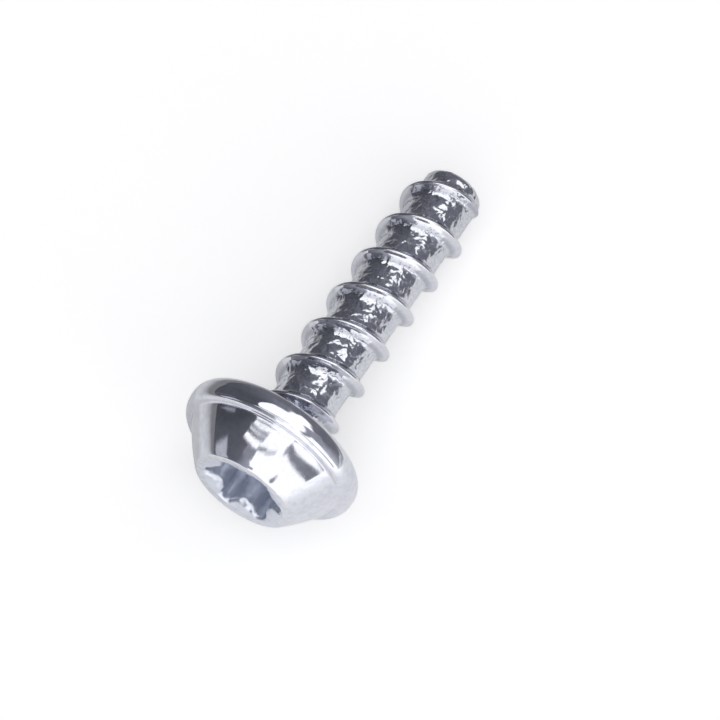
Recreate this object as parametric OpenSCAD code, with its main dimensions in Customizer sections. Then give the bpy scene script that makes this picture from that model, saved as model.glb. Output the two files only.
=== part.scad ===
// Thread-forming screw with a washer flange, a domed head and a six-lobe socket.
// It lies on the ground plane as it comes to rest: on the rim of its flange
// and on the last full crest of its thread, with the tip towards +X.

/* [Thread] */
// Outer diameter over the thread crests
thread_d = 4.0; // [3.5:0.1:5]
// Diameter of the core between the flights
core_d = 2.96; // [2.4:0.02:3.2]
// Distance from one crest to the next
thread_pitch = 2.24; // [1.8:0.02:3]
// Length from the bearing face of the flange to the tip
shank_len = 16; // [10:1:40]
// Width of the flat on the crest
crest_w = 0.1; // [0.06:0.02:0.2]
// Width of the flight at its waist, above the root fillets
waist_w = 0.56; // [0.4:0.02:0.8]
// Height of the waist over the core, as a share of the flight height
waist_share = 0.3; // [0.15:0.05:0.5]
// Width of the flight where its root fillets meet the core
root_w = 1.1; // [0.9:0.05:1.4]
// Turns over which the flight runs out at the tip
fade_turns = 0.8; // [0.4:0.1:1.5]
// Share of its width that the flight keeps where it has run out
fade_width = 0.5; // [0.3:0.05:0.8]
// Rounding of the edge of the tip
tip_round = 0.32; // [0.1:0.02:0.6]

/* [Head] */
// Outer diameter of the flange
flange_d = 8.64; // [8.4:0.02:11]
// Height of the flange at the foot of the dome
flange_h = 1.22; // [1:0.02:1.6]
// Rounding of the flange rim on the side of the thread
rim_round = 0.36; // [0.1:0.02:0.5]
// Rounding of the flange rim on the side of the dome
shoulder_round = 0.36; // [0.2:0.02:0.5]
// Diameter of the dome at its foot
dome_d = 7.6; // [6.8:0.1:7.8]
// Diameter of the dome at its top edge
dome_top_d = 4.8; // [4.7:0.1:5.4]
// Height of the whole head over the bearing face
head_h = 3.12; // [2.8:0.02:4]
// Radius of the arc that crowns the side of the dome
dome_r = 12; // [6:0.5:20]
// Rounding of the top edge of the dome
top_round = 0.2; // [0.1:0.02:0.4]
// Radius of the fillet between the dome and the flange
foot_fillet = 0.14; // [0.06:0.02:0.3]
// Gap between the thread crests and the bearing ring under the flange
relief_gap = 0.2; // [0.1:0.05:0.4]
// Depth of the relief inside the bearing ring
relief_deep = 0.1; // [0.05:0.05:0.2]

/* [Socket] */
// Diameter over the six lobes
lobe_d = 3.95; // [3.4:0.05:4]
// Diameter over the six ribs between the lobes
rib_d = 2.85; // [2.5:0.05:2.9]
// Radius of each lobe
lobe_r = 0.3; // [0.25:0.01:0.34]
// Depth of the lobes
socket_depth = 1.85; // [1.2:0.05:2]
// Diameter of the dished chamfer at the mouth
mouth_d = 4.26; // [4.1:0.02:4.4]
// Depth of that chamfer, where it meets the ribs
mouth_deep = 0.2; // [0.1:0.05:0.5]
// Ledge between the ribs and the cone at the bottom of the socket
point_ledge = 0.15; // [0.05:0.05:0.3]
// Depth of the cone at the bottom of the socket
point_depth = 0.4; // [0.1:0.05:0.6]

/* [Turn about the axis] */
// Angle of the thread crest at the bearing face, from straight up
thread_turn = 139; // [0:1:359]
// Angle of the first lobe, from straight up
socket_turn = 28; // [0:1:59]

/* [Hidden] */

thread_r = thread_d / 2;
core_r = core_d / 2;
waist_r = core_r + (thread_r - core_r) * waist_share;
flange_r = flange_d / 2;
steps_per_turn = 36;
step_len = thread_pitch / steps_per_turn;
// The flight starts inside the flange, is rooted a little inside the core and dives into it at the tip
hidden_turns = 0.35;
root_sink = 0.12;
end_sink = 0.5;
end_gap = 0.05;
flight_end = shank_len - root_w / 2 * fade_width - end_gap;
fade_len = fade_turns * thread_pitch;

// The screw leans on its rim and on the last full crest that points down
full_crests = flight_end - fade_len;
down_share = (180 - thread_turn) / 360;
rest_turn = floor(full_crests / thread_pitch - down_share);
rest_crest = (rest_turn + down_share) * thread_pitch;
// The steps of the flight straddle the crest that it rests on
steps_before = ceil(rest_crest / step_len + hidden_turns * steps_per_turn);
flight_start = rest_crest - (steps_before - 0.5) * step_len;
step_count = floor((flight_end - flight_start) / step_len);
rim_gap = flange_r - rim_round - thread_r;
rest_reach = rest_crest + rim_round;
rest_tilt = atan2(rim_gap, rest_reach) + asin(rim_round / norm([rim_gap, rest_reach]));
rest_lift = thread_r * cos(rest_tilt) + rest_crest * sin(rest_tilt);
top_reach = (head_h - top_round) * cos(rest_tilt) + (dome_top_d / 2 - top_round) * sin(rest_tilt) + top_round;
tip_reach = (shank_len - tip_round) * cos(rest_tilt) + (core_r - tip_round) * sin(rest_tilt) + tip_round;

// Share of the flight height that is left at distance z from the bearing face
function flight_share(z) = 1 - pow(max(0, 1 - (flight_end - z) / fade_len), 2);

// Outline of the flight at one place, as [radius, distance along the axis]
function flight_section(z, share) =
    let (
        sink = root_sink + end_sink * pow(1 - share, 3),
        crest = core_r - sink / 2 + (thread_r - core_r + sink / 2) * share,
        waist = core_r - sink / 2 + (waist_r - core_r + sink / 2) * share,
        slim = fade_width + (1 - fade_width) * share
    )
    [
        [core_r - sink, z - root_w / 2 * slim],
        [waist, z - waist_w / 2 * slim],
        [crest, z - crest_w / 2],
        [crest, z + crest_w / 2],
        [waist, z + waist_w / 2 * slim],
        [core_r - sink, z + root_w / 2 * slim]
    ];

function turned(p, angle) = [p[0] * cos(angle), p[0] * sin(angle), p[1]];

module flight() {
    sides = 6;
    points = [
        for (i = [0:step_count])
            let (
                z = flight_start + i * step_len,
                angle = thread_turn + 360 * z / thread_pitch
            )
            for (p = flight_section(z, flight_share(z))) turned(p, angle)
    ];
    skin = [
        for (i = [0:step_count - 1], k = [0:sides - 1])
            let (
                a = i * sides + k,
                b = i * sides + (k + 1) % sides
            )
            each [[a, b, b + sides], [a, b + sides, a + sides]]
    ];
    start_cap = [for (k = [sides - 1:-1:0]) k];
    end_cap = [for (k = [0:sides - 1]) step_count * sides + k];
    polyhedron(points = points, faces = concat(skin, [start_cap], [end_cap]));
}

// Core of the thread, with a rounded edge at the tip
module core() {
    sunk = flange_h / 2;
    rotate_extrude($fn = 96) {
        translate([0, -sunk]) square([core_r, shank_len + sunk - tip_round]);
        square([core_r - tip_round, shank_len]);
        translate([core_r - tip_round, shank_len - tip_round]) circle(r = tip_round, $fn = 48);
    }
}

// Half section of the flange, seen with the head upwards
module flange_section() {
    square([flange_r - shoulder_round, flange_h]);
    square([flange_r - rim_round, flange_h - shoulder_round]);
    translate([0, rim_round]) square([flange_r, flange_h - shoulder_round - rim_round]);
    translate([flange_r - rim_round, rim_round]) circle(r = rim_round, $fn = 48);
    translate([flange_r - shoulder_round, flange_h - shoulder_round]) circle(r = shoulder_round, $fn = 96);
}

// Centre of the arc that crowns the side of the dome, through its foot and its top edge
function dome_centre() =
    let (
        foot = [dome_d / 2, flange_h],
        top = [dome_top_d / 2, head_h],
        half = norm(top - foot) / 2,
        inward = [foot[1] - top[1], top[0] - foot[0]] / (2 * half)
    )
    (foot + top) / 2 + inward * sqrt(dome_r * dome_r - half * half);

// Point at height h on the circle of radius r about c, on the side away from the axis
function at_height(c, r, h) = [c[0] + sqrt(r * r - pow(h - c[1], 2)), h];

// Point that lies ra from a and rb from b, on the side away from the axis
function meeting(a, ra, b, rb) =
    let (
        gap = norm(b - a),
        along = (ra * ra - rb * rb + gap * gap) / (2 * gap),
        u = (b - a) / gap
    )
    a + along * u + sqrt(ra * ra - along * along) * [u[1], -u[0]];

// Half section of the dome, with its top edge rounded
module dome_section() {
    centre = dome_centre();
    edge = at_height(centre, dome_r - top_round, head_h - top_round);
    touch = centre + (edge - centre) * dome_r / (dome_r - top_round);
    low = flange_h - shoulder_round;
    intersection() {
        translate(centre) circle(r = dome_r, $fn = 360);
        union() {
            translate([0, low]) square([edge[0], head_h - low]);
            translate([0, low]) square([dome_d, touch[1] - low]);
            translate(edge) circle(r = top_round, $fn = 48);
        }
    }
}

// Fillet in the corner between the dome and the flange, on its flat or on its rounded rim
module foot_section() {
    centre = dome_centre();
    rim = [flange_r - shoulder_round, flange_h - shoulder_round];
    on_flat = at_height(centre, dome_r + foot_fillet, flange_h + foot_fillet);
    on_rim = meeting(rim, shoulder_round + foot_fillet, centre, dome_r + foot_fillet);
    flat = on_flat[0] <= rim[0];
    fillet = flat ? on_flat : on_rim;
    low = flat ? [fillet[0], flange_h] : rim + (fillet - rim) * shoulder_round / (shoulder_round + foot_fillet);
    high = centre + (fillet - centre) * dome_r / (dome_r + foot_fillet);
    difference() {
        polygon([low, high, [high[0] - foot_fillet, high[1]], [high[0] - foot_fillet, low[1] - foot_fillet / 2]]);
        translate(fillet) circle(r = foot_fillet, $fn = 48);
    }
}

module head() {
    over = 0.5;
    difference() {
        rotate([180, 0, 0]) rotate_extrude($fn = 180) intersection() {
            square([flange_d, head_h]);
            union() {
                flange_section();
                dome_section();
                foot_section();
            }
        }
        translate([0, 0, -relief_deep]) cylinder(h = relief_deep + over, r = thread_r + relief_gap, $fn = 96);
    }
}

// Outline of the socket, with lobes and ribs that run into each other
module socket_outline() {
    lobe_c = lobe_d / 2 - lobe_r;
    rib = rib_d / 2;
    // The ribs cut a hair into the lobes, so that the arcs cross instead of only touching
    bite = 0.002;
    near = lobe_r - bite;
    rib_r = (lobe_c * lobe_c + rib * rib - 2 * lobe_c * rib * cos(30) - near * near)
        / (2 * near - 2 * rib + 2 * lobe_c * cos(30));
    rib_c = (rib + rib_r) * [cos(30), sin(30)];
    joint = [lobe_c, 0] + (rib_c - [lobe_c, 0]) * near / (near + rib_r) + [0, lobe_r / 4];
    reach = norm(joint);
    spread = atan2(joint[1], joint[0]);
    difference() {
        union() {
            polygon([for (i = [0:5], side = [-1, 1]) reach * [cos(60 * i + side * spread), sin(60 * i + side * spread)]]);
            for (i = [0:5]) rotate(60 * i) translate([lobe_c, 0]) circle(r = lobe_r, $fn = 48);
        }
        for (i = [0:5]) rotate(60 * i + 30) translate([rib + rib_r, 0]) circle(r = rib_r, $fn = 96);
    }
}

module socket() {
    over = 0.5;
    translate([0, 0, -head_h]) rotate(socket_turn) {
        translate([0, 0, -over]) linear_extrude(socket_depth + over) socket_outline();
        translate([0, 0, socket_depth]) cylinder(h = point_depth, d1 = rib_d - 2 * point_ledge, d2 = 0, $fn = 96);
        cylinder(h = mouth_deep, d1 = mouth_d, d2 = rib_d, $fn = 96);
    }
}

module screw() {
    color([0.78, 0.79, 0.83])
    translate([(top_reach - tip_reach) / 2, 0, rest_lift])
    rotate([0, 90 + rest_tilt, 0])
    rotate(180)
    difference() {
        union() {
            head();
            core();
            flight();
        }
        socket();
    }
}

screw();
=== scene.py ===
import math

import bpy
import numpy as np
from mathutils import Matrix, Vector, noise


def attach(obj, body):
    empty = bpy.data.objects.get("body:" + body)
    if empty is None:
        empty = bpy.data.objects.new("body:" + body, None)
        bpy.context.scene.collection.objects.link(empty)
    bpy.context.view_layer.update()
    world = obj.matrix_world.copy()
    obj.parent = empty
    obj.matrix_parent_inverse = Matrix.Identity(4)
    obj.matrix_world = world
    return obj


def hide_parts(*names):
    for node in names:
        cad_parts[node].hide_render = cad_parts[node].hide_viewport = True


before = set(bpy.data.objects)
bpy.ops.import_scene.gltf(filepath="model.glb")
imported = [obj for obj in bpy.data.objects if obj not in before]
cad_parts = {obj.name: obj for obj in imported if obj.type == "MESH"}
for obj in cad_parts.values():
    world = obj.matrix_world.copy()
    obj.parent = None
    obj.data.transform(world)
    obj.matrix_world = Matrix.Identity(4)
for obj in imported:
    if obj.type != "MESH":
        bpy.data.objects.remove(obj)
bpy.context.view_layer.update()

MM = 0.001

# Sizes in millimetres, the same as in the part's source
THREAD_D, CORE_D, PITCH, SHANK = 4.0, 2.96, 2.24, 16.0
CREST_W, WAIST_W, WAIST_SHARE, ROOT_W = 0.1, 0.56, 0.3, 1.1
FADE_TURNS, FADE_WIDTH, TIP_ROUND, END_GAP = 0.8, 0.5, 0.32, 0.05
FLANGE_D, FLANGE_H, RIM_ROUND, SHOULDER_ROUND = 8.64, 1.22, 0.36, 0.36
DOME_D, DOME_TOP_D, HEAD_H, DOME_R = 7.6, 4.8, 3.12, 12.0
TOP_ROUND, FOOT_FILLET, RELIEF_GAP, RELIEF_DEEP = 0.2, 0.14, 0.2, 0.1
LOBE_D, RIB_D, LOBE_R, SOCKET_DEPTH = 3.95, 2.85, 0.3, 1.85
MOUTH_D, MOUTH_DEEP, POINT_LEDGE, POINT_DEPTH = 4.26, 0.2, 0.15, 0.4
THREAD_TURN, SOCKET_TURN = 139.0, 28.0

THREAD_R, CORE_R, FLANGE_R = THREAD_D / 2, CORE_D / 2, FLANGE_D / 2
FLIGHT_END = SHANK - ROOT_W / 2 * FADE_WIDTH - END_GAP
FADE = FADE_TURNS * PITCH

# The same rest pose as in the part's source: the screw leans on its rim and on a crest
full = FLIGHT_END - FADE
down = (180 - THREAD_TURN) / 360
crest_z = (math.floor(full / PITCH - down) + down) * PITCH
gap = FLANGE_R - RIM_ROUND - THREAD_R
reach = crest_z + RIM_ROUND
TILT = math.atan2(gap, reach) + math.asin(RIM_ROUND / math.hypot(gap, reach))
LIFT = THREAD_R * math.cos(TILT) + crest_z * math.sin(TILT)
top_reach = (HEAD_H - TOP_ROUND) * math.cos(TILT) + (DOME_TOP_D / 2 - TOP_ROUND) * math.sin(TILT) + TOP_ROUND
tip_reach = (SHANK - TIP_ROUND) * math.cos(TILT) + (CORE_R - TIP_ROUND) * math.sin(TILT) + TIP_ROUND
SHIFT = (top_reach - tip_reach) / 2


def placed(r, phi, z):
    """Points in the row frame, in metres, from radius, angle from straight up and distance along the axis."""
    r, phi, z = np.broadcast_arrays(r, phi, z)
    c, s = np.cos(phi), np.sin(phi)
    ca, sa = math.cos(TILT), math.sin(TILT)
    return np.stack([SHIFT + r * c * sa + z * ca, -r * s, LIFT + r * c * ca - z * sa], -1) * MM


def grid_mesh(name, points, closed_v, loops=()):
    """A smooth mesh from a grid of points (rows, columns, 3). Faces that have no area are left out."""
    rows, cols = points.shape[:2]
    verts = points.reshape(-1, 3)
    index = np.arange(rows * cols).reshape(rows, cols)
    nxt = np.roll(index, -1, 1) if closed_v else index[:, 1:]
    cur = index if closed_v else index[:, :-1]
    faces = np.stack([cur[:-1], nxt[:-1], nxt[1:], cur[1:]], -1).reshape(-1, 4)
    mesh = bpy.data.meshes.new(name)
    mesh.from_pydata(verts.tolist(), [], faces.tolist())
    mesh.validate()
    return mesh


def tidy_mesh(mesh, flip=False):
    import bmesh

    bm = bmesh.new()
    bm.from_mesh(mesh)
    bmesh.ops.remove_doubles(bm, verts=bm.verts, dist=2e-7)
    bmesh.ops.dissolve_degenerate(bm, edges=bm.edges, dist=1e-7)
    loose = [v for v in bm.verts if not v.link_faces]
    bmesh.ops.delete(bm, geom=loose, context="VERTS")
    if flip:
        bmesh.ops.reverse_faces(bm, faces=bm.faces)
    for f in bm.faces:
        f.smooth = True
    bm.to_mesh(mesh)
    bm.free()
    mesh.update()


def add(name, mesh):
    obj = bpy.data.objects.new(name, mesh)
    bpy.context.scene.collection.objects.link(obj)
    return obj


def arc(c, r, a0, a1, n):
    t = np.radians(np.linspace(a0, a1, n))
    return np.stack([c[0] + r * np.cos(t), c[1] + r * np.sin(t)], -1)


def line(a, b, n):
    t = np.linspace(0, 1, n)[:, None]
    return np.asarray(a) * (1 - t) + np.asarray(b) * t


# Head profile as (radius, height over the bearing face), from the core outwards and over to the mouth
def head_profile():
    foot, top = np.array([DOME_D / 2, FLANGE_H]), np.array([DOME_TOP_D / 2, HEAD_H])
    half = np.linalg.norm(top - foot) / 2
    inward = np.array([foot[1] - top[1], top[0] - foot[0]]) / (2 * half)
    centre = (foot + top) / 2 + inward * math.sqrt(DOME_R**2 - half**2)

    def at_height(r, h):
        return np.array([centre[0] + math.sqrt(r * r - (h - centre[1]) ** 2), h])

    edge = at_height(DOME_R - TOP_ROUND, HEAD_H - TOP_ROUND)
    fillet = at_height(DOME_R + FOOT_FILLET, FLANGE_H + FOOT_FILLET)

    def bearing(p):
        return math.degrees(math.atan2(p[1] - centre[1], p[0] - centre[0]))

    low, high = bearing(fillet), bearing(edge)
    shoulder = FLANGE_R - SHOULDER_ROUND
    bulge, crown = (0.42, 0.5), 0.62
    parts = [
        line((1.0, RELIEF_DEEP), (THREAD_R + RELIEF_GAP, RELIEF_DEEP), 3),
        line((THREAD_R + RELIEF_GAP, 0), (FLANGE_R - bulge[0], 0), 4)[:-1],
        arc((0, 0), 1, -90, 0, 20) * bulge + (FLANGE_R - bulge[0], bulge[1]),
        line((FLANGE_R, bulge[1]), (FLANGE_R, FLANGE_H - crown), 4)[1:-1],
        arc((0, 0), 1, 0, 90, 26) * (SHOULDER_ROUND, crown) + (shoulder, FLANGE_H - crown),
        arc(fillet, FOOT_FILLET, 270, 180 + low, 14),
        arc(centre, DOME_R, low, high, 18)[1:-1],
        arc(edge, TOP_ROUND, high, 90, 9),
        line((edge[0], HEAD_H), (MOUTH_D / 2 + 0.1, HEAD_H), 3)[1:],
    ]
    return np.vstack(parts)


def corner(a, c, b, r, n):
    """Points of a rounded corner at c between a and b, for arrays of corners."""
    u = (a - c) / np.linalg.norm(a - c, axis=-1, keepdims=True)
    v = (b - c) / np.linalg.norm(b - c, axis=-1, keepdims=True)
    cosine = np.clip((u * v).sum(-1, keepdims=True), -0.999, 0.999)
    halfangle = np.arccos(cosine) / 2
    cut = r / np.tan(halfangle)
    t = np.linspace(0, 1, n)[:, None, None]
    p0, p1, p2 = c + u * cut, c, c + v * cut
    return (1 - t) ** 2 * p0 + 2 * t * (1 - t) * p1 + t**2 * p2


def socket_radius(phi):
    """Distance of the socket's wall from the axis at an angle from its first lobe."""
    lobe_c, rib = LOBE_D / 2 - LOBE_R, RIB_D / 2
    c30 = math.cos(math.radians(30))
    rib_r = (lobe_c**2 + rib**2 - 2 * lobe_c * rib * c30 - LOBE_R**2) / (2 * LOBE_R - 2 * rib + 2 * lobe_c * c30)
    rib_c = rib + rib_r
    joint = np.array([lobe_c, 0]) + (rib_c * np.array([c30, 0.5]) - np.array([lobe_c, 0])) * LOBE_R / (LOBE_R + rib_r)
    spread = math.atan2(joint[1], joint[0])
    a = np.abs((phi + math.pi / 6) % (math.pi / 3) - math.pi / 6)
    on_lobe = lobe_c * np.cos(a) + np.sqrt(np.maximum(0, LOBE_R**2 - (lobe_c * np.sin(a)) ** 2))
    b = math.pi / 6 - a
    on_rib = rib_c * np.cos(b) - np.sqrt(np.maximum(0, rib_r**2 - (rib_c * np.sin(b)) ** 2))
    return np.where(a < spread, on_lobe, on_rib)


def mouth_dents(prof, phi):
    """Unevenness that forming leaves around the socket's mouth, as shifts of radius and height."""
    r, h = prof[..., 0], prof[..., 1]
    weight = np.clip((2.45 - r) / 0.3, 0, 1) * np.clip((h - HEAD_H + 0.75) / 0.4, 0, 1)
    shift = np.zeros(prof.shape)
    for i, j in zip(*np.nonzero(weight)):
        p = Vector((r[i, j] * math.cos(phi[j]), r[i, j] * math.sin(phi[j]), h[i, j])) * 3.1
        shift[i, j] = 0.05 * noise.noise(p), 0.032 * (noise.noise(p + Vector((5, 9, 2))) - 1)
    return shift * weight[..., None]


def head_mesh(cols):
    phi = np.linspace(0, 2 * math.pi, cols, endpoint=False)
    outer = head_profile()
    outer_rows = np.repeat(outer[:, None, :], cols, 1)
    wall = socket_radius(phi - math.radians(SOCKET_TURN))
    mouth = MOUTH_D / 2
    drop = MOUTH_DEEP / (mouth - RIB_D / 2)
    one = np.ones(cols)

    def pts(r, h):
        return np.stack([r * one, h * one], -1)

    m0 = pts(mouth + 0.1, HEAD_H)
    m1 = pts(mouth, HEAD_H)
    m2 = pts(wall, HEAD_H - drop * (mouth - wall))
    floor_h = HEAD_H - SOCKET_DEPTH
    m3 = pts(wall, floor_h)
    m4 = pts(RIB_D / 2 - POINT_LEDGE, floor_h)
    m5 = pts(0.0, floor_h - POINT_DEPTH)
    lip = np.minimum(0.4, 1.1 * np.linalg.norm(m2 - m1, axis=-1, keepdims=True))
    rows = [
        corner(m0, m1, m2, 0.03, 4),
        corner(m1, m2, m3, lip, 12),
        np.stack([m2 * (1 - t) + m3 * t for t in (0.3, 0.45, 0.6, 0.75)]),
        corner(m2, m3, m4, 0.05, 5),
        corner(m3, m4, m5, 0.04, 4),
        np.stack([m4 * (1 - t) + m5 * t for t in (0.35, 0.7, 0.95)]),
    ]
    prof = np.concatenate([outer_rows] + rows)
    prof = prof + mouth_dents(prof, phi)
    points = placed(prof[..., 0], phi[None, :], -prof[..., 1])
    centre = placed(0.0, 0.0, -(floor_h - POINT_DEPTH))
    points = np.concatenate([points, np.broadcast_to(centre, (1, cols, 3))])
    mesh = grid_mesh("screw_head", points, True)
    tidy_mesh(mesh)
    return mesh


def flight_radius(s, share):
    """Radius of the thread at axial distance s from its crest, for a share of the full height."""
    s = np.abs(s)
    waist_r = CORE_R + (THREAD_R - CORE_R) * WAIST_SHARE
    top = CORE_R + (THREAD_R - CORE_R) * share
    waist = CORE_R + (waist_r - CORE_R) * share
    slim = FADE_WIDTH + (1 - FADE_WIDTH) * share
    c, w, f = CREST_W / 2 * slim, WAIST_W / 2 * slim, 0.62 * slim
    crest = top - 0.01 * (s / c) ** 2
    flank = top + (waist - top) * np.clip((s - c) / (w - c), 0, 1)
    q = np.clip((f - s) / (f - w), 0, 1)
    fillet = CORE_R + (waist - CORE_R) * q**2.2
    r = np.where(s < c, crest, np.where(s < w, flank, fillet))
    return np.where(s > f, CORE_R, r)


def tip_bend(r, z):
    """Wraps what lies past the start of the tip's rounding over the edge and onto the end face."""
    u = np.maximum(0, z - (SHANK - TIP_ROUND))
    quarter = TIP_ROUND * math.pi / 2
    a = np.clip(u / TIP_ROUND, 0, math.pi / 2)
    inner = r - TIP_ROUND
    rr = inner + TIP_ROUND * np.cos(a)
    zz = np.where(u > 0, SHANK - TIP_ROUND + TIP_ROUND * np.sin(a), z)
    over = np.maximum(0, u - quarter)
    rr = np.where(u > 0, np.maximum(0, rr - over), r)
    return rr, zz


def core_roughness(r, phi, z, share, s):
    """Pits and ridges that rolling leaves between the flights, in millimetres."""
    r, phi, z, share, s = np.broadcast_arrays(r, phi, z, share, s)
    weight = 1 - 0.85 * np.clip((r - CORE_R) / 0.1, 0, 1)
    out = np.zeros(r.shape)
    for i in range(r.shape[0]):
        for j in range(r.shape[1]):
            p = Vector((r[i, j] * math.cos(phi[i, j]), r[i, j] * math.sin(phi[i, j]), z[i, j]))
            coarse = noise.noise(p * 2.6)
            fine = noise.noise(p * 6.5 + Vector((7, 3, 1)))
            out[i, j] = 0.024 * coarse + 0.009 * fine
    return out * weight - 0.006


def shank_mesh(per_turn, across):
    half = PITCH / 2
    t = np.linspace(-1, 1, across)
    s = half * (0.55 * t + 0.45 * t**3)
    z0, z1 = -1.5, SHANK + 2.7
    first = z0 / PITCH
    count = int((z1 - z0) / PITCH * per_turn)
    turns = first + np.arange(count + 1) / per_turn
    phi = np.radians(THREAD_TURN) + 2 * math.pi * turns
    zc = turns * PITCH
    share = 1 - np.clip(1 - (FLIGHT_END - zc) / FADE, 0, 1) ** 2
    share = np.clip(share, 0, 1)
    z = zc[:, None] + s[None, :]
    r = flight_radius(s[None, :], share[:, None])
    rough = core_roughness(r, phi[:, None], z, share[:, None], s[None, :])
    r, z = tip_bend(r + rough, z)
    z = np.maximum(z, -0.45)
    points = placed(r, phi[:, None], z)
    mesh = grid_mesh("screw_shank", points, False)
    tidy_mesh(mesh, True)
    return mesh


head = add("screw_head", head_mesh(640))
shank = add("screw_shank", shank_mesh(180, 45))

for obj in (head, shank):
    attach(obj, "root")
    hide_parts("screw")


def material(name):
    mat = bpy.data.materials.new(name)
    mat.use_nodes = True
    tree = mat.node_tree
    tree.nodes.clear()
    return mat, tree


def node(tree, kind, **values):
    n = tree.nodes.new(kind)
    for k, v in values.items():
        setattr(n, k, v)
    return n


def maths(tree, op, a, b=None, clamp=False):
    """A Math node. Each input is a number or a socket."""
    n = node(tree, "ShaderNodeMath", operation=op, use_clamp=clamp)
    for i, v in enumerate((a, b)):
        if v is None:
            continue
        if isinstance(v, (int, float)):
            n.inputs[i].default_value = v
        else:
            tree.links.new(v, n.inputs[i])
    return n.outputs[0]


def ramp(tree, value, stops, smooth=True):
    """A ramp over 0..1 whose stops are (position, grey or colour)."""
    n = node(tree, "ShaderNodeValToRGB")
    n.color_ramp.interpolation = "EASE" if smooth else "LINEAR"
    e = n.color_ramp.elements
    while len(e) < len(stops):
        e.new(0.5)
    for el, (pos, c) in zip(e, stops):
        el.position = pos
        el.color = (c, c, c, 1) if isinstance(c, (int, float)) else (*c, 1)
    tree.links.new(value, n.inputs[0])
    return n.outputs[0]


def blend_colours(tree, share, a, b):
    n = node(tree, "ShaderNodeMix", data_type="RGBA")
    for sock, v in ((n.inputs[0], share), (n.inputs[6], a), (n.inputs[7], b)):
        if isinstance(v, tuple):
            sock.default_value = v
        elif isinstance(v, (int, float)):
            sock.default_value = v if sock is n.inputs[0] else (v, v, v, 1)
        else:
            tree.links.new(v, sock)
    return n.outputs[2]


# Bright zinc plating: smooth on the head and the flights, rough between them, satin in the socket
mat, tree = material("zinc_steel")
out = node(tree, "ShaderNodeOutputMaterial")
bsdf = node(tree, "ShaderNodeBsdfPrincipled")
bsdf.inputs["Metallic"].default_value = 1.0
place = node(tree, "ShaderNodeTexCoord").outputs["Object"]


def vector(tree, op, a, b=None, out=0):
    """A Vector Math node. Each input is a socket or three numbers."""
    n = node(tree, "ShaderNodeVectorMath", operation=op)
    for i, v in enumerate((a, b)):
        if v is None:
            continue
        if isinstance(v, tuple):
            n.inputs[i].default_value = v
        else:
            tree.links.new(v, n.inputs[i])
    return n.outputs[out]


def smooth(tree, value, low, high, to=(0.0, 1.0)):
    n = node(tree, "ShaderNodeMapRange", interpolation_type="SMOOTHSTEP")
    tree.links.new(value, n.inputs[0])
    for i, v in enumerate((low, high, *to)):
        n.inputs[i + 1].default_value = v
    return n.outputs[0]


def grain(tree, where, scale, detail=2.0, rough=0.5, distortion=0.0):
    n = node(tree, "ShaderNodeTexNoise")
    tree.links.new(where, n.inputs["Vector"])
    for name, v in (("Scale", scale), ("Detail", detail), ("Roughness", rough), ("Distortion", distortion)):
        n.inputs[name].default_value = v
    return n.outputs[0]


# Position in millimetres from the centre of the bearing face, radius from the axis and distance along it
axis = (math.cos(TILT), 0.0, -math.sin(TILT))
scaled = vector(tree, "MULTIPLY", place, (1000.0, 1000.0, 1000.0))
local = vector(tree, "SUBTRACT", scaled, (SHIFT, 0.0, LIFT))
radius = vector(tree, "LENGTH", vector(tree, "CROSS_PRODUCT", local, axis), out="Value")
along = vector(tree, "DOT_PRODUCT", local, axis, out="Value")
in_core = maths(tree, "MULTIPLY", smooth(tree, radius, 1.86, 1.58), smooth(tree, along, 0.0, 0.15))
in_socket = maths(tree, "MULTIPLY", smooth(tree, radius, 2.12, 2.04), smooth(tree, along, -1.1, -1.2))
on_crest = maths(tree, "MULTIPLY", smooth(tree, radius, 1.9, 1.99), smooth(tree, along, 0.0, 0.1))

large = grain(tree, local, 1.1, 2.0)
middle = grain(tree, local, 3.4, 3.0)
small = grain(tree, local, 9.0, 3.0, 0.6)
speck = grain(tree, local, 16.0, 2.0)
tone = ramp(tree, middle, [(0.3, (0.69, 0.705, 0.775)), (0.62, (0.77, 0.78, 0.835))])
tone = blend_colours(tree, maths(tree, "MULTIPLY", in_core, smooth(tree, small, 0.42, 0.6, (0.0, 0.5))), tone, (0.5, 0.51, 0.56, 1))
# Painted shade: the base colour is darker in the fillet at the foot of the flights, where shade falls between them
painted_root_shade = maths(tree, "MULTIPLY", in_core, smooth(tree, radius, 1.5, 1.6))
tone = blend_colours(tree, maths(tree, "MULTIPLY", painted_root_shade, 0.75), tone, (0.42, 0.43, 0.49, 1))
tone = blend_colours(tree, maths(tree, "MULTIPLY", in_socket, 0.7), tone, (0.72, 0.76, 0.85, 1))
tone = blend_colours(tree, maths(tree, "MULTIPLY", on_crest, smooth(tree, small, 0.4, 0.6, (0.1, 0.7))), tone, (0.83, 0.82, 0.82, 1))
tree.links.new(tone, bsdf.inputs["Base Color"])

shine = smooth(tree, large, 0.3, 0.7, (0.04, 0.08))
shine = maths(tree, "ADD", shine, smooth(tree, small, 0.5, 0.75, (0.0, 0.05)))
shine = maths(tree, "ADD", shine, maths(tree, "MULTIPLY", in_core, 0.05))
shine = maths(tree, "ADD", shine, maths(tree, "MULTIPLY", in_socket, smooth(tree, middle, 0.3, 0.7, (0.22, 0.34))))
tree.links.new(shine, bsdf.inputs["Roughness"])


def bump(tree, height, distance, below=None):
    n = node(tree, "ShaderNodeBump")
    n.inputs["Strength"].default_value = 1.0
    n.inputs["Distance"].default_value = distance * MM
    tree.links.new(height, n.inputs["Height"])
    if below is not None:
        tree.links.new(below, n.inputs["Normal"])
    return n.outputs[0]


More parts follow.
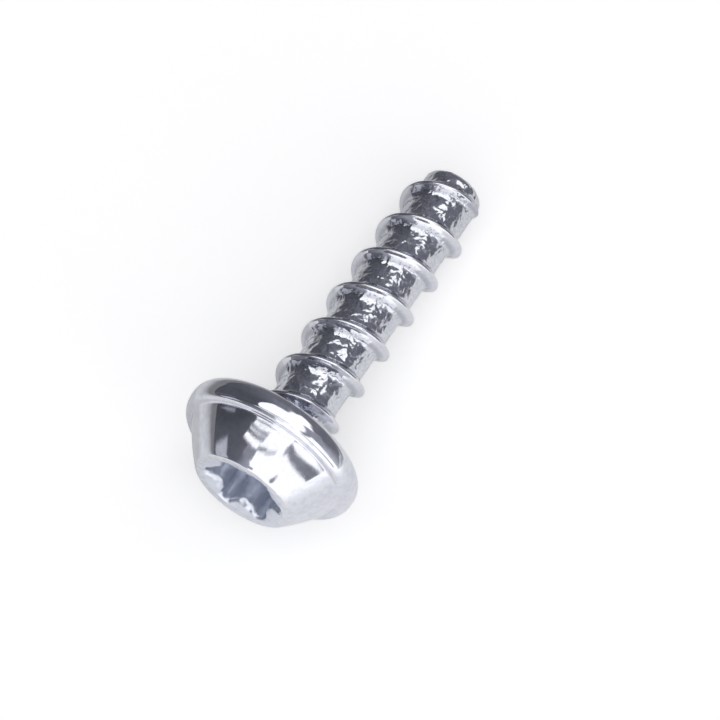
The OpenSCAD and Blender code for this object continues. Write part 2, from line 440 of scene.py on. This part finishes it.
lumps = grain(tree, local, 2.7, 1.4, 0.4, 0.3)
on_thread = smooth(tree, along, 0.0, 0.1)
relief = bump(tree, maths(tree, "MULTIPLY", lumps, in_core), 0.085)
relief = bump(tree, maths(tree, "MULTIPLY", middle, on_thread), 0.005, relief)
relief = bump(tree, maths(tree, "MULTIPLY", middle, in_socket), 0.03, relief)
relief = bump(tree, middle, 0.0007, relief)
relief = bump(tree, speck, 0.0004, relief)
tree.links.new(relief, bsdf.inputs["Normal"])
tree.links.new(bsdf.outputs[0], out.inputs[0])
head.data.materials.append(mat)
shank.data.materials.append(mat)

# Floor: white to the camera, with the object's shadow; in reflections it also carries painted shade, a painted shadow
# spot and painted glows
floor_mesh = bpy.data.meshes.new("floor")
e = 0.6
floor_mesh.from_pydata([(-e, -e, 0), (e, -e, 0), (e, e, 0), (-e, e, 0)], [], [(0, 1, 2, 3)])
floor = add("floor", floor_mesh)
fmat, ftree = material("floor_white_painted_shade_and_glow")
fout = node(ftree, "ShaderNodeOutputMaterial")
fb = node(ftree, "ShaderNodeBsdfDiffuse")
fb.inputs["Color"].default_value = (0.8, 0.8, 0.8, 1)
glow = node(ftree, "ShaderNodeEmission")
path = node(ftree, "ShaderNodeLightPath")
mirrored = maths(ftree, "MAXIMUM", path.outputs["Is Glossy Ray"], path.outputs["Is Transmission Ray"])
ground = node(ftree, "ShaderNodeTexCoord").outputs["Object"]
# Painted shade seen only in reflections: the floor darkens with distance on the side away from the light and to one
# side of the screw
painted_shade_side = vector(ftree, "DOT_PRODUCT", ground, (0.64, 0.77, 0.0), out="Value")
painted_shade_aside = vector(ftree, "DOT_PRODUCT", ground, (0.94, -0.34, 0.0), out="Value")
painted_shade_side = maths(ftree, "MAXIMUM", smooth(ftree, painted_shade_side, -0.004, 0.03), smooth(ftree, painted_shade_aside, 0.018, 0.036))
reflected_floor_shade = maths(ftree, "MULTIPLY", mirrored, painted_shade_side)
# Painted shadow seen only in reflections: a dark spot on the floor beside the head
shadow_spot_distance = vector(ftree, "LENGTH", vector(ftree, "SUBTRACT", ground, (-0.0078, 0.0065, 0.0)), out="Value")
reflected_floor_shade = maths(ftree, "MAXIMUM", reflected_floor_shade, maths(ftree, "MULTIPLY", mirrored, smooth(ftree, shadow_spot_distance, 0.009, 0.003, (0.0, 0.38))))
# Painted light seen only in reflections: the floor glows near the screw where it is not shaded
painted_glow_near = maths(ftree, "SUBTRACT", mirrored, reflected_floor_shade)
# Painted shade: the floor's colour in reflections drops from 0.8 to 0.33 where that shade lies
floor_colour_with_painted_shade = smooth(ftree, reflected_floor_shade, 0.0, 1.0, (0.8, 0.33))
ftree.links.new(floor_colour_with_painted_shade, fb.inputs["Color"])
# Painted light seen only in reflections: the floor glows brighter on the side towards the light
painted_glow_lit_side = maths(ftree, "MULTIPLY", mirrored, smooth(ftree, vector(ftree, "DOT_PRODUCT", ground, (-0.74, -0.67, 0.0), out="Value"), 0.0, 0.07, (0.0, 0.5)))
level = maths(ftree, "ADD", maths(ftree, "MULTIPLY", path.outputs["Is Camera Ray"], 0.42), maths(ftree, "MULTIPLY", painted_glow_near, 0.2))
level = maths(ftree, "ADD", level, painted_glow_lit_side)
ftree.links.new(level, glow.inputs["Strength"])
both = node(ftree, "ShaderNodeAddShader")
ftree.links.new(fb.outputs[0], both.inputs[0])
ftree.links.new(glow.outputs[0], both.inputs[1])
ftree.links.new(both.outputs[0], fout.inputs[0])
floor_mesh.materials.append(fmat)

# Studio: a white tent that is open on one side, with a white panel overhead
world = bpy.data.worlds.new("studio")
bpy.context.scene.world = world
world.use_nodes = True
wt = world.node_tree
wt.nodes.clear()
wout = node(wt, "ShaderNodeOutputWorld")
back = node(wt, "ShaderNodeBackground")
coord = node(wt, "ShaderNodeTexCoord")
split = node(wt, "ShaderNodeSeparateXYZ")
wt.links.new(coord.outputs["Generated"], split.inputs[0])
DEG = 180 / math.pi
SEAM = 100
WHITE = 1.4
azimuth = maths(wt, "MULTIPLY", maths(wt, "ARCTAN2", split.outputs[1], split.outputs[0]), DEG)
azimuth = maths(wt, "FLOORED_MODULO", maths(wt, "SUBTRACT", azimuth, SEAM), 360)
height = maths(wt, "MULTIPLY", maths(wt, "ARCSINE", split.outputs[2]), DEG)


def past(value, edge, soft):
    n = node(wt, "ShaderNodeMapRange", interpolation_type="SMOOTHSTEP")
    wt.links.new(value, n.inputs[0])
    n.inputs[1].default_value = edge - soft
    n.inputs[2].default_value = edge + soft
    return n.outputs[0]


def between(value, low, high, soft):
    return maths(wt, "SUBTRACT", past(value, low, soft), past(value, high, soft))


def patch(az0, az1, el0, el1, soft, azimuth=azimuth, high=height):
    """Share of a panel between two azimuths and two heights, in degrees."""
    az0, az1 = (az0 - SEAM) % 360, (az1 - SEAM) % 360
    return maths(wt, "MULTIPLY", between(azimuth, az0, az1, soft), between(high, el0, el1, soft))


def sky_stop(az, value):
    return ((az - SEAM) % 360) / 360, value


raised = maths(wt, "MAXIMUM", height, 0.0)
leaning = maths(wt, "SUBTRACT", azimuth, maths(wt, "MULTIPLY", raised, 0.4))
lean = maths(wt, "MULTIPLY", raised, maths(wt, "SUBTRACT", 0.4, maths(wt, "MULTIPLY", past(azimuth, 47, 16), 0.4)))
light = ramp(wt, maths(wt, "DIVIDE", maths(wt, "SUBTRACT", azimuth, lean), 360), [
    sky_stop(100.5, 0.105), sky_stop(104.5, 0.08), sky_stop(107.5, 0.08), sky_stop(113, 0.115), sky_stop(130, 0.14),
    sky_stop(142, 0.16), sky_stop(150, 0.24), sky_stop(158, 0.33), sky_stop(170.5, 0.42), sky_stop(173.5, WHITE),
    sky_stop(-103, WHITE), sky_stop(-97, 0.62), sky_stop(-87, 0.48), sky_stop(-79, 0.4), sky_stop(-70, 0.28), sky_stop(-62, 0.18), sky_stop(-30, 0.2),
    sky_stop(30, 0.18), sky_stop(50, 0.13), sky_stop(70, 0.1), sky_stop(99, 0.1),
], False)
dot = node(wt, "ShaderNodeVectorMath", operation="DOT_PRODUCT")
wt.links.new(coord.outputs["Generated"], dot.inputs[0])
dot.inputs[1].default_value = (-0.1437, -0.2489, 0.9578)
light = blend_colours(wt, past(dot.outputs["Value"], 0.722, 0.012), light, WHITE)
light = blend_colours(wt, patch(-50, -21, 41.5, 60, 3), light, WHITE)
light = blend_colours(wt, patch(-9, 26, 44, 63.5, 3), light, 0.24)
# Softbox beside the screw, crossed by two straps; heights are measured on a plane that leans over it
facing = node(wt, "ShaderNodeVectorMath", operation="DOT_PRODUCT")
wt.links.new(coord.outputs["Generated"], facing.inputs[0])
facing.inputs[1].default_value = (math.cos(math.radians(182)), math.sin(math.radians(182)), 0.0)
arch = maths(wt, "MULTIPLY", maths(wt, "ARCTAN2", split.outputs[2], facing.outputs["Value"]), DEG)
light = blend_colours(wt, patch(137.4, 176, 50.6, 66, 1, high=arch), light, WHITE)
light = blend_colours(wt, patch(135, 200, 61.3, 64.2, 0.5, high=arch), light, 0.22)
light = blend_colours(wt, patch(135, 174, 56.9, 58.8, 0.4, high=arch), light, 0.32)
light = blend_colours(wt, patch(137, 172, 53.9, 56.1, 0.4, high=arch), light, 0.2)
light = blend_colours(wt, patch(160, 173, 55.6, 57.2, 0.8, high=arch), light, 0.7)
light = blend_colours(wt, patch(150, 170.5, 44.5, 50.1, 0.9, high=arch), light, 0.32)
light = blend_colours(wt, patch(168, 187, 49.9, 51.9, 0.4, high=arch), light, 0.26)
light = blend_colours(wt, patch(186, 204, 48.6, 51.4, 0.6, high=arch), light, 0.72)
light = blend_colours(wt, patch(168, 181, 37.2, 41.2, 0.8), light, 0.4)
curved = maths(wt, "ADD", maths(wt, "MULTIPLY", height, 0.2), maths(wt, "MULTIPLY", maths(wt, "POWER", height, 2), 0.006))
curved = maths(wt, "ADD", azimuth, curved)
light = blend_colours(wt, patch(-122.2, -115.8, 1, 47, 0.9, curved), light, 0.25)
light = blend_colours(wt, patch(-145.5, -139, 43, 48.5, 1.2), light, 0.36)
light = blend_colours(wt, patch(-97, -56, 30, 52, 3), light, 0.36)
light = blend_colours(wt, patch(-133, -54, 49, 58, 2), light, 0.34)
light = blend_colours(wt, patch(118, 133, 3, 21.5, 1.2, maths(wt, "SUBTRACT", azimuth, maths(wt, "MULTIPLY", raised, 0.28))), light, 0.56)
light = blend_colours(wt, patch(103.4, 104.9, 1, 27, 0.5, leaning), light, 0.36)
light = blend_colours(wt, patch(-148, -142.4, 23.2, 28.6, 1.5), light, 0.34)
cool = blend_colours(wt, light, (0.93, 0.96, 1.14, 1), (1, 1, 1, 1))
tinted = node(wt, "ShaderNodeVectorMath", operation="MULTIPLY")
wt.links.new(light, tinted.inputs[0])
wt.links.new(cool, tinted.inputs[1])
wpath = node(wt, "ShaderNodeLightPath")
sky = blend_colours(wt, wpath.outputs["Is Camera Ray"], tinted.outputs[0], 1.0)
wt.links.new(sky, back.inputs[0])
wt.links.new(back.outputs[0], wout.inputs[0])

# Camera at the photograph's angle
EL, BETA = math.radians(68.6294), math.radians(58.9872)
R = Vector((math.cos(BETA), -math.sin(BETA), 0))
U = Vector((math.sin(BETA) * math.sin(EL), math.cos(BETA) * math.sin(EL), math.cos(EL)))
D = Vector((-math.sin(BETA) * math.cos(EL), -math.cos(BETA) * math.cos(EL), math.sin(EL)))
MM_PX, DIST, OX, OY = 0.0455576, 109.445, -18.6596, 9.5104
aim = Vector(placed(0.0, 0.0, 5.4669)) - (OX * MM_PX * R + OY * MM_PX * U) * MM
cam_data = bpy.data.cameras.new("camera")
cam_data.sensor_width = 36
cam_data.lens = 36 * DIST / (720 * MM_PX)
cam_data.clip_start, cam_data.clip_end = 0.005, 5
cam = bpy.data.objects.new("camera", cam_data)
bpy.context.scene.collection.objects.link(cam)
m = Matrix((R, U, D)).transposed().to_4x4()
m.translation = aim + D * DIST * MM
cam.matrix_world = m
bpy.context.scene.camera = cam
bpy.context.scene.view_settings.view_transform = "Standard"
